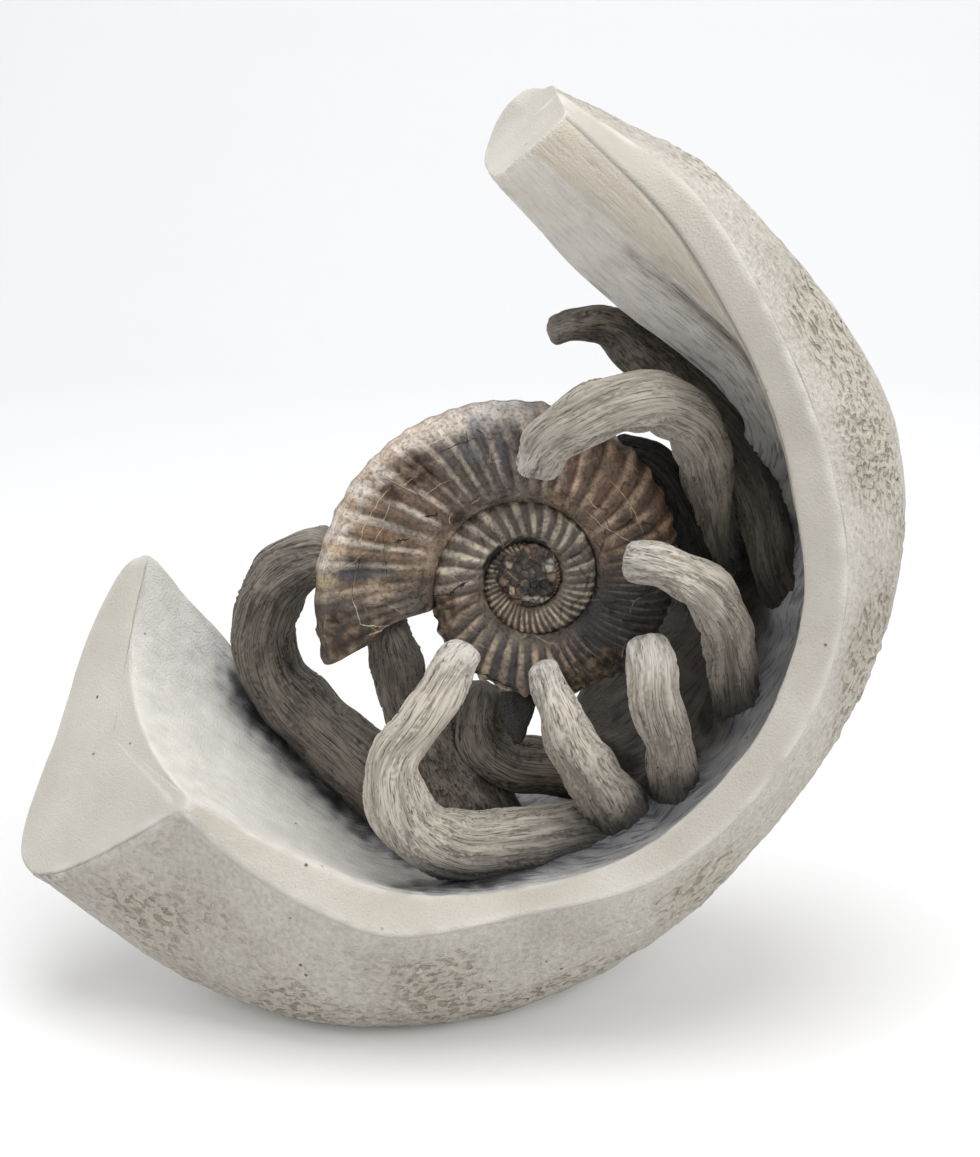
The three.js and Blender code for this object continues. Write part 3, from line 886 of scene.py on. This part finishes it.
# Cracks in the shown side, healed with calcite and then open: a width in mm, and points on it as
# an angle round the spiral and a share of the way over the whorl, 0 at its seam and 1 at its rim.
HEALED = [
    (0.4, [(196, 0.3), (194, 0.45), (191, 0.6), (185, 0.63), (182, 0.66), (172, 0.66)]),
    (0.34, [(167, 0.7), (161, 0.7), (155, 0.72), (145, 0.72), (141, 0.72)]),
    (0.3, [(166, 0.6), (157, 0.57), (149, 0.62), (145, 0.66)]),
    (0.34, [(141, 0.45), (137, 0.45), (131, 0.45), (125, 0.42)]),
    (0.4, [(140, 0.65), (135, 0.63)]),
    (0.5, [(126, 0.78), (121, 0.8), (114, 0.8), (108, 0.82)]),
    (0.5, [(144, 0.1), (141, 0.15), (137, 0.16)]),
    (0.5, [(127, 0.13), (119, 0.15)]),
    (0.3, [(59, 0.33), (53, 0.31), (46, 0.3)]),
    (0.32, [(53, 0.62), (45, 0.62), (33, 0.62), (20, 0.62)]),
    (0.32, [(54, 0.2), (41, 0.22), (25, 0.4), (17, 0.6)]),
    (0.3, [(140, 0.98), (140, 0.75), (138, 0.4), (135, 0.17)]),
    (0.35, [(195, 0.57), (196, 0.4)]),
    (0.5, [(-122, 0.93), (-112, 0.9), (-104, 0.94), (-97, 0.9)]),
]
OPEN = [
    (0.9, [(-176, 0.96), (-173, 0.63), (-178, 0.44), (-181, 0.27)]),
    (0.9, [(161, 0.44), (158, 0.32)]),
    (1.0, [(147, 0.35), (143, 0.25), (141, 0.27)]),
    (0.5, [(173, 0.66), (167, 0.63)]),
    (0.4, [(-24, 0.35), (-36, 0.58), (-49, 0.8), (-59, 0.92)]),
    (0.3, [(46, 0.32), (32, 0.3), (25, 0.37)]),
    (0.25, [(152, 0.63), (167, 0.46), (178, 0.38)]),
    (0.4, [(182, 0.34), (182, 0.25), (181, 0.19)]),
    (0.3, [(112, 0.65), (109, 0.8)]),
    (0.45, [(123, 0.7), (116, 0.7), (107, 0.7)]),
    (0.8, [(-124, 0.86), (-112, 0.82), (-99, 0.86)]),
    (0.4, [(177, 0.67), (184, 0.65)]),
]
# Width in mm of the black mudstone in the seam, at angles round the spiral.
SEAM_WIDTHS = [
    (200, 0.35), (60, 0.4), (25, 1.3), (-30, 1.1), (-60, 0.4), (-180, 0.4), (-200, 2.1), (-285, 1.9),
    (-310, 0.5), (-1000, 0.4),
]
MUDSTONE = "0D0C0C"


def at_angle(table, angle):
    """The two rows of a falling table that an angle lies between, and how far it is to the second."""
    for first, second in zip(table, table[1:]):
        if angle >= second[0]:
            return first, second, min(max((first[0] - angle) / (first[0] - second[0]), 0), 1)
    return table[-1], table[-1], 0


def blend(first, second, share):
    return first + (second - first) * share


def section_at(column):
    """Distance from the middle and half width, as shares of the outer radius, round the section."""
    front = column < FRONT_COLUMNS
    share = column / FRONT_COLUMNS if front else 1 - (column - FRONT_COLUMNS) / BACK_COLUMNS
    point = spline(section_curve, share)
    return point.x, point.y if front else -point.y


section_curve = [Vector((reach, half, 0)) for reach, half in WHORL_SECTION]
section = [section_at(column) for column in range(SHELL_COLUMNS)]
tones = [(angle, Vector(linear(top)), Vector(linear(hollow))) for angle, top, hollow in TONES]
marks = [(*mark[:4], Vector(linear(mark[4])), mark[5]) for mark in MARKS]
mudstone = Vector(linear(MUDSTONE))
rim_tone = Vector(linear(RIM_TONE))
stations = [(APERTURE_ANGLE, 0)]
while stations[-1][0] > APERTURE_ANGLE - 360 * SHELL_TURNS:
    angle, phase = stations[-1]
    step = ROW_STEP * SHELL_GROWTH ** ((APERTURE_ANGLE - angle) / 720)
    first, second, share = at_angle(RIB_SPACING, angle)
    stations.append((angle - step, phase + step / blend(first[1], second[1], share)))

shell_lean = Matrix.Rotation(pi / 2 - SHELL_LEAN, 4, "X")
shell_rows = len(stations) - 1 + 2 * END_ROWS
shell_shape, layer, cells = grid_shape(SHELL_COLUMNS, shell_rows, "broken", colours=["tone"])
for vert, column, row in cells:
    station = min(max(row - END_ROWS, 0), len(stations) - 1)
    drawn_in = max(END_ROWS - row, row - END_ROWS - len(stations) + 1, 0) / END_ROWS
    turn, phase = stations[station]
    reach, half = section[column]
    across = (reach - INNER_REACH) / (1 - INNER_REACH)
    outer = SHELL_RADIUS * SHELL_GROWTH ** (turn / 360)
    flank = min(abs(half) / 0.15, 1)
    # The torn lip, then the ribs.
    rough_at = Vector((phase * 3, across * 9 + copysign(20, half), 0))
    torn = ease(12, 0, APERTURE_ANGLE - turn) * 4 * noise(rough_at * 0.2 + Vector((0, 0, 5)))
    swept = turn + RIB_SWEEP * across ** 2 + torn
    rib_phase = phase + 0.16 * noise(Vector((turn / 14, across * 2, 3)))
    sharpness = blend(1.15, 2.2, ease(8, -4, turn) * ease(-62, -50, turn))
    rib = (0.5 + 0.5 * cos(2 * pi * rib_phase)) ** sharpness
    uneven = 0.8 + 0.5 * noise(Vector((turn / 9, across * 3, 8)))
    grown = (rib - RIB_SINK) * RIB_HEIGHT * (ease(0.03, 0.4, across) * uneven)
    width = half + copysign(grown, half) * flank
    reach += grown * across * (0.35 + 0.3 * (1 - flank)) * (1 - 0.6 * ease(70, 90, turn))
    reach = SECTION_MIDDLE + (reach - SECTION_MIDDLE) * (1 - drawn_in)
    angle = radians(swept)
    spoke = Vector((cos(angle), sin(angle), 0))
    flat = spoke * outer * reach
    outward = (spoke * (reach - SECTION_MIDDLE) * 2 + Vector((0, 0, 1)) * half * 3).normalized()
    spot = flat + Vector((0, 0, width * outer * (1 - drawn_in)))
    # Broken patches and wear.
    broken = 0
    ragged = 1.2 * noise(spot / 2)
    crumbled = 0.5 + 0.6 * noise(spot / 1.6)
    for x, y, radius, depth in BREAKS:
        inside = ease(1, 0.75, (hypot(flat.x - x, flat.y - y) + ragged) / radius)
        spot -= outward * inside * depth * crumbled
        broken = max(broken, inside)
    worn = 0.16 * fractal(spot / 2.4, 0.8, 2, 3) * (1 + 2.5 * broken)
    spot += outward * (worn + 0.35 * noise(spot / 9)) * min(outer / 30, 1)
    # Pale rib tops and dark hollows, a pale rim, marks, and mudstone in the seam.
    first, second, share = at_angle(tones, turn)
    top = first[1].lerp(second[1], share)
    hollow = first[2].lerp(second[2], share)
    shown = ease(0.05, 0.35, across)
    crest = ease(blend(0.25, 0.5, ease(95, 130, turn)), 0.95, rib)
    crest *= 0.8 + 0.8 * noise(Vector((round(rib_phase) * 1.7, across * 2, 4)))
    tone = hollow.lerp(top, 0.25 + (crest - 0.25) * shown)
    tone *= 1.12 + 0.6 * noise(spot / 4.5 + Vector((2, 8, 1)))
    on_rim = ease(0.7, 0.95, across) * ease(80, 95, turn) * ease(178, 165, turn)
    tone = tone.lerp(rim_tone, 0.9 * on_rim)
    frayed = ease(-55, -68, turn) * ease(-135, -118, turn) * ease(0.8, 0.97, across)
    spot += outward * frayed * (1.3 * noise(spot / 2.2) - 0.4)
    tone = tone.lerp(rim_tone, 0.6 * frayed * ease(0, 0.3, noise(spot / 1.8)))
    blotch = 0.5 * noise(spot / 3)
    for x, y, half_width, half_height, colour, strength in marks:
        away = hypot((flat.x - x) / half_width, (flat.y - y) / half_height) + blotch
        if away < MARK_REACH:
            shows = strength * ease(MARK_REACH, 0.4, away) * (1 - 0.5 * min(crest, 1))
            tone = tone.lerp(colour, min(shows, 0.95))
    first, second, share = at_angle(SEAM_WIDTHS, turn)
    seam_width = blend(first[1], second[1], share) + 0.4 * noise(spot / 1.5)
    seam = ease(seam_width + 0.5, seam_width - 0.3, (reach - INNER_REACH) * outer)
    tone = tone.lerp(mudstone, seam)
    vert[layer.broken] = broken
    vert[layer.tone] = tone
    vert[layer.grain] = (phase * 6 * outer / 50, across * outer * 0.55, copysign(50, half))
    vert.co = (shell_lean @ spot) * MM + STAND
weld(shell_shape, SHELL_WELD_GAP)

# Calcite: hard, brown from iron, with a low waxy polish where whole and dull where broken.
calcite, tree, shader = new_material("calcite-filled shell")
where = add_node(tree, "TexCoord", out="Object")
grain = add_node(tree, "Attribute", out="Vector", attribute_name="grain")
tone = add_node(tree, "Attribute", out="Color", attribute_name="tone")
broken = add_node(tree, "Attribute", out="Fac", attribute_name="broken")
# Growth lines lie along the ribs, half a millimetre apart.
drawn = add_node(tree, "Mapping", {"Vector": grain, "Scale": (1 / 0.5, 1 / 3.5, 1)})
growth_lines = add_node(tree, "TexNoise", {"Vector": drawn, "Scale": 1.0, "Detail": 4.0})
mottle, speckle, fine = [
    add_node(tree, "TexNoise", {"Vector": where, "Scale": 1 / (size * MM), "Detail": detail})
    for size, detail in [(4.5, 6), (1.1, 8), (3.2, 8)]
]
# Two nets of thin cracks that wander by up to 8 mm: the size of their meshes and their width, in mm.
bent = add_node(tree, "TexNoise", {"Vector": where, "Scale": 1 / (20 * MM), "Detail": 2.0}, "Color")
inputs = {0: bent, 1: (8 * MM, 8 * MM, 8 * MM), 2: where}
wander = add_node(tree, "VectorMath", inputs, operation="MULTIPLY_ADD")
nets = []
for spacing, width in [(17, 0.22), (26, 0.3)]:
    inputs = {"Vector": wander, "Scale": 1 / (spacing * MM)}
    edges = add_node(tree, "TexVoronoi", inputs, "Distance", feature="DISTANCE_TO_EDGE")
    stops = [(0.5 * width / spacing, "FFFFFF"), (width / spacing, "000000")]
    nets.append(add_node(tree, "ValToRGB", {"Fac": edges}, stops=stops))
tint = SimpleNamespace(**{
    name: add_node(tree, "ValToRGB", {"Fac": value}, stops=stops)
    for name, value, *stops in [
        ("growth", growth_lines, (0.34, "6E6560"), (0.56, "FFFFFF")),
        ("mottle", mottle, (0.35, "8E8780"), (0.62, "FFFFFF")),
        ("speckle", speckle, (0.38, "4A4139"), (0.52, "FFFFFF")),
        ("matrix", fine, (0.38, "241C17"), (0.5, "50402F"), (0.63, "85735F")),
        ("healed", mottle, (0.5, "000000"), (0.6, "909090")),
        ("open", mottle, (0.38, "B0B0B0"), (0.48, "000000")),
        ("dull", mottle, (0.35, "BBBBBB"), (0.65, "9C9C9C")),
    ]
})
colour = tone
for share, shade in [(0.3, tint.growth), (0.5, tint.mottle), (0.5, tint.speckle)]:
    inputs = {MIX_AMOUNT: share, MIX_FIRST: colour, MIX_SECOND: shade}
    colour = add_node(tree, "Mix", inputs, MIX_RESULT, data_type="RGBA", blend_type="MULTIPLY")
open_cracks = add_node(tree, "Math", {0: nets[1], 1: tint.open}, operation="MULTIPLY")
colour = coated(
    tree, colour,
    (broken, 0.6, tint.matrix),
    (nets[0], tint.healed, "CDBB9B"),
    (open_cracks, 1, MUDSTONE),
)
low_growth = add_node(tree, "Math", {0: growth_lines, 1: 0.3}, operation="MULTIPLY")
pocked = piled(tree, fine, (speckle, 0.6))
height = piled(tree, low_growth, (pocked, 1), (open_cracks, -1))
relief = add_node(tree, "Bump", {"Height": height, "Strength": 0.9, "Distance": 1.1 * MM})
set_inputs(shader, {
    "Base Color": colour, "Roughness": piled(tree, tint.dull, (broken, 0.4)), "IOR": 1.58,
    "Normal": relief,
})

shell_surface = BVHTree.FromBMesh(shell_shape)

ammonite = new_object("ammonite_shell", shell_shape, calcite)
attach(ammonite, "root")
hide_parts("ammonite")

# Cracks that healed stand a little proud as pale calcite; open ones are packed with mudstone.
# In mm: from one row of a ribbon to the next, its height along the middle, how far its edges lie
# below that, and where the search for the shell's surface starts.
CRACK_STEP = 0.25
CRACK_PROUD = 0.06
CRACK_SLOPE = 0.1
CAST_FROM = Vector((0, 0, 40))


def on_whorl(turn, share):
    """The point in the plane of the shell at that angle and share of the way over the whorl."""
    angle = radians(turn + RIB_SWEEP * share ** 2)
    reach = SHELL_RADIUS * SHELL_GROWTH ** (turn / 360) * blend(INNER_REACH, 1, share)
    return Vector((cos(angle), sin(angle), 0)) * reach


def crack_lines(name, paths, material):
    """Thin ribbons that lie along cracks on the shell's shown side."""
    shape = bmesh.new()
    toward = shell_lean.to_3x3() @ Vector((0, 0, -1))
    for width, path in paths:
        points = [on_whorl(*place) for place in path]
        count = int(sum((b - a).length for a, b in zip(points, points[1:])) / CRACK_STEP)
        before = None
        for i in range(count + 1):
            along = i / count * (len(points) - 1)
            first = min(int(along), len(points) - 2)
            spot = points[first].lerp(points[first + 1], along - first)
            ahead = (points[first + 1] - points[first]).normalized()
            beside = Vector((-ahead.y, ahead.x, 0))
            spot = spot + beside * (0.4 * noise(spot / 2) + 0.12 * noise(spot / 0.5))
            start = (shell_lean @ (spot + CAST_FROM)) * MM + STAND
            place, normal, _, _ = shell_surface.ray_cast(start, toward)
            if place is None:
                before = None
                continue
            half = 0.42 * width * min(1, 4 * i / count, 4 * (1 - i / count))
            half *= 1 + 0.6 * noise(spot / 0.8)
            over = (shell_lean.to_3x3() @ beside).cross(normal).cross(-normal).normalized()
            row = []
            for share in (-1, 0, 1):
                lift = normal * (CRACK_PROUD - CRACK_SLOPE * abs(share))
                row.append(shape.verts.new(place + (over * half * share + lift) * MM))
            if before:
                for j in (0, 1):
                    shape.faces.new((before[j], before[j + 1], row[j + 1], row[j]))
            before = row
    bmesh.ops.recalc_face_normals(shape, faces=shape.faces)
    for face in shape.faces:
        if face.normal.dot(toward) > 0:
            face.normal_flip()
    made = new_object(name, shape, material)
    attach(made, "root")
    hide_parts("ammonite")


# Pale vein calcite: cream, with a soft shine. Black mudstone: dull and nearly black.
pale_calcite, tree, shader = new_material("pale vein calcite")
set_inputs(shader, {"Base Color": "BBAA90", "Roughness": 0.45})
soft_mudstone, tree, shader = new_material("black mudstone")
set_inputs(shader, {"Base Color": "15120F", "Roughness": 0.8})
crack_lines("ammonite_healed_cracks", HEALED, pale_calcite)
crack_lines("ammonite_open_cracks", OPEN, soft_mudstone)

# The smallest whorls are crushed: a rough disc of broken chambers, some filled white, some black.
# Radius and half thickness, in mm.
CORE_RADIUS = 7.2
CORE_HALF = 3.1
# How much farther the crushed part reaches on its upper left.
CORE_SPREAD = 0.36
CORE_ROWS = 90
CORE_COLUMNS = 120
CORE_COLOURS = ["41342A", "866C54", "AE9377", "584A3F", "C4B399", "231E19"]
CORE_MARKS = [
    (5.7, 3.9, 2.4, 1.9, "E4E2D6", 0.9), (2.4, -5, 3.8, 0.8, "DCDACC", 0.9),
    (0.7, -2, 3.3, 2.4, "100F0F", 0.85), (-8, 3.5, 2, 2, "15110F", 0.85),
    (-2.2, 6, 1.7, 2.3, "171412", 0.85), (-5, 6.5, 1.2, 2.5, "6E5741", 0.8),
    (1.2, 7.4, 1.3, 2.4, "7A6048", 0.8), (-4.5, 1.5, 2.4, 1.6, "3A2C22", 0.7),
    (-0.5, 2, 1.5, 1, "8A8272", 0.6),
]
core_shape, layer, cells = grid_shape(CORE_COLUMNS, CORE_ROWS, "broken", colours=["tone"])
for vert, column, row in cells:
    turn = column / CORE_COLUMNS * 2 * pi
    dip = row / CORE_ROWS * pi
    reach = CORE_RADIUS * (1 + CORE_SPREAD * ease(-0.1, 0.5, sin(turn - 0.5)))
    spot = Vector((cos(turn) * sin(dip), sin(turn) * sin(dip), 0)) * reach
    spot.z = CORE_HALF * copysign(abs(cos(dip)) ** 0.35, cos(dip))
    lump_at = Vector((spot.x, spot.y, 0)) / 2.1 + Vector((4, 2, 0))
    edges = voronoi(lump_at)
    gap = ease(0.25, 0.0, edges[0][1] - edges[0][0])
    spot.z += copysign(0.7 * cell(edges[1][0] * 7) - 0.8 * gap, spot.z) * sin(dip) ** 0.5
    pick = int(abs(cell(edges[1][0] * 5 + Vector((3, 0, 0)))) * 17)
    tone = Vector(linear(CORE_COLOURS[pick % len(CORE_COLOURS)]))
    for x, y, half_width, half_height, colour, strength in CORE_MARKS:
        away = hypot((spot.x - x) / half_width, (spot.y - y) / half_height) + 0.3 * noise(spot)
        tone = tone.lerp(Vector(linear(colour)), strength * ease(1.2, 0.8, away))
    vert[layer.tone] = tone.lerp(mudstone, gap * 0.8)
    vert[layer.grain] = (spot.x, spot.y, 0)
    vert.co = (shell_lean @ spot) * MM + STAND
weld(core_shape, SHELL_WELD_GAP)
core = new_object("ammonite_core", core_shape, calcite)
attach(core, "root")
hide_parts("ammonite")

# A lump of dark rock left under the shell, behind its lower edge: its middle and its half widths,
# in mm.
LUMP_MIDDLE = Vector((-3, -36, -4))
LUMP_HALF = Vector((4.8, 10.3, 5.2))
LUMP_COLUMNS = 90
LUMP_ROWS = 90
lump_shape, layer, cells = grid_shape(LUMP_COLUMNS, LUMP_ROWS)
for vert, column, row in cells:
    turn = column / LUMP_COLUMNS * 2 * pi
    dip = row / LUMP_ROWS * pi
    ball = Vector((cos(turn) * sin(dip), cos(dip), sin(turn) * sin(dip)))
    ball.x *= 1 - 0.45 * ease(0.1, -0.9, ball.y)
    spot = LUMP_MIDDLE + ball * LUMP_HALF * (1 + 0.16 * fractal(ball * 1.7, 0.8, 2, 4))
    vert[layer.grain] = spot
    vert.co = (shell_lean @ spot) * MM + STAND
weld(lump_shape, SHELL_WELD_GAP)
# Its nearly black colour is painted shadow over the dark rock.
lump = new_object("ammonite_lump", lump_shape, shadow_black_limestone)
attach(lump, "root")
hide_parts("ammonite")
